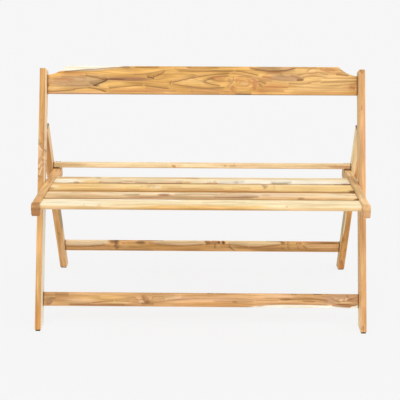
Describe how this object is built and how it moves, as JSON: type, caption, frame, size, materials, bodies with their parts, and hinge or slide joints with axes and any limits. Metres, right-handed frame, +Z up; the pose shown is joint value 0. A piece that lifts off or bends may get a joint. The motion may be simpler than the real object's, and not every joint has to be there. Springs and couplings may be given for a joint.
{
  "type": "folding bench",
  "caption": "Slatted folding bench of oiled teak: an A-frame of hinged legs with a crest rail, and a seat that swings up between the long legs so that the whole folds flat.",
  "frame": {"origin": "on the floor, under the middle of the opened bench's box", "axes": "+X to the right of a person who faces the bench, +Y to its rear, +Z up"},
  "size_m": [1.107, 0.6408, 0.822],
  "materials": {
    "teak_legs": "oiled teak, satin",
    "teak_crest": "oiled teak, satin",
    "teak_boards": "oiled teak, satin",
    "teak_rails": "oiled teak, satin",
    "teak_slats": "oiled teak with pale sapwood, satin",
    "dowel_beech": "plain",
    "hinge_steel": "dulled zinc plate",
    "screw_steel": "zinc plate",
    "bolt_steel": "satin stainless",
    "insert_brass": "plain",
    "spacer_nylon": "plain",
    "pad_rubber": "matt dark brown"
  },
  "bodies": {
    "front_frame": {"long_leg_left": "teak_legs", "long_leg_right": "teak_legs", "crest_rail": "teak_crest", "front_stretcher": "teak_boards", "crest_dowels": "dowel_beech", "front_stretcher_dowels": "dowel_beech", "front_foot_pad_left": "pad_rubber", "front_foot_pad_right": "pad_rubber", "hinge_leaf_frame_left": "hinge_steel", "hinge_leaf_frame_right": "hinge_steel", "hinge_pin_left": "hinge_steel", "hinge_pin_right": "hinge_steel", "hinge_screws_frame_left": "screw_steel", "hinge_screws_frame_right": "screw_steel"},
    "rear_frame": {"rear_leg_left": "teak_legs", "rear_leg_right": "teak_legs", "rear_stretcher": "teak_boards", "rear_stretcher_dowels": "dowel_beech", "cross_bar": "teak_boards", "cross_bar_dowels": "dowel_beech", "rear_foot_pad_left": "pad_rubber", "rear_foot_pad_right": "pad_rubber", "hinge_leaf_rear_left": "hinge_steel", "hinge_leaf_rear_right": "hinge_steel", "hinge_screws_rear_left": "screw_steel", "hinge_screws_rear_right": "screw_steel"},
    "seat": {"seat_rail_left": "teak_rails", "seat_rail_right": "teak_rails", "seat_slat_front": "teak_slats", "seat_slat_second": "teak_slats", "seat_slat_third": "teak_slats", "seat_slat_rear": "teak_slats", "slat_dowels_left": "dowel_beech", "slat_dowels_right": "dowel_beech", "hook_block_left": "teak_rails", "hook_block_right": "teak_rails", "hook_block_screws_left": "screw_steel", "hook_block_screws_right": "screw_steel", "pivot_bolt_left": "bolt_steel", "pivot_bolt_right": "bolt_steel", "pivot_insert_left": "insert_brass", "pivot_insert_right": "insert_brass", "pivot_spacer_left": "spacer_nylon", "pivot_spacer_right": "spacer_nylon"}
  },
  "joints": [
    {"name": "seat_fold", "type": "hinge", "parent": "front_frame", "child": "seat", "pos_m": [0, -0.07299, 0.436], "axis": [-1, 0, 0], "range_deg": [0, 111.7]},
    {"name": "rear_frame_fold", "type": "hinge", "parent": "front_frame", "child": "rear_frame", "pos_m": [0, 0.02921, 0.616], "axis": [-1, 0, 0], "range_deg": [0, 44.2]}
  ],
  "couplings": [
    {"joint": "rear_frame_fold", "follows": "seat_fold", "ratio": 0.3957}
  ]
}
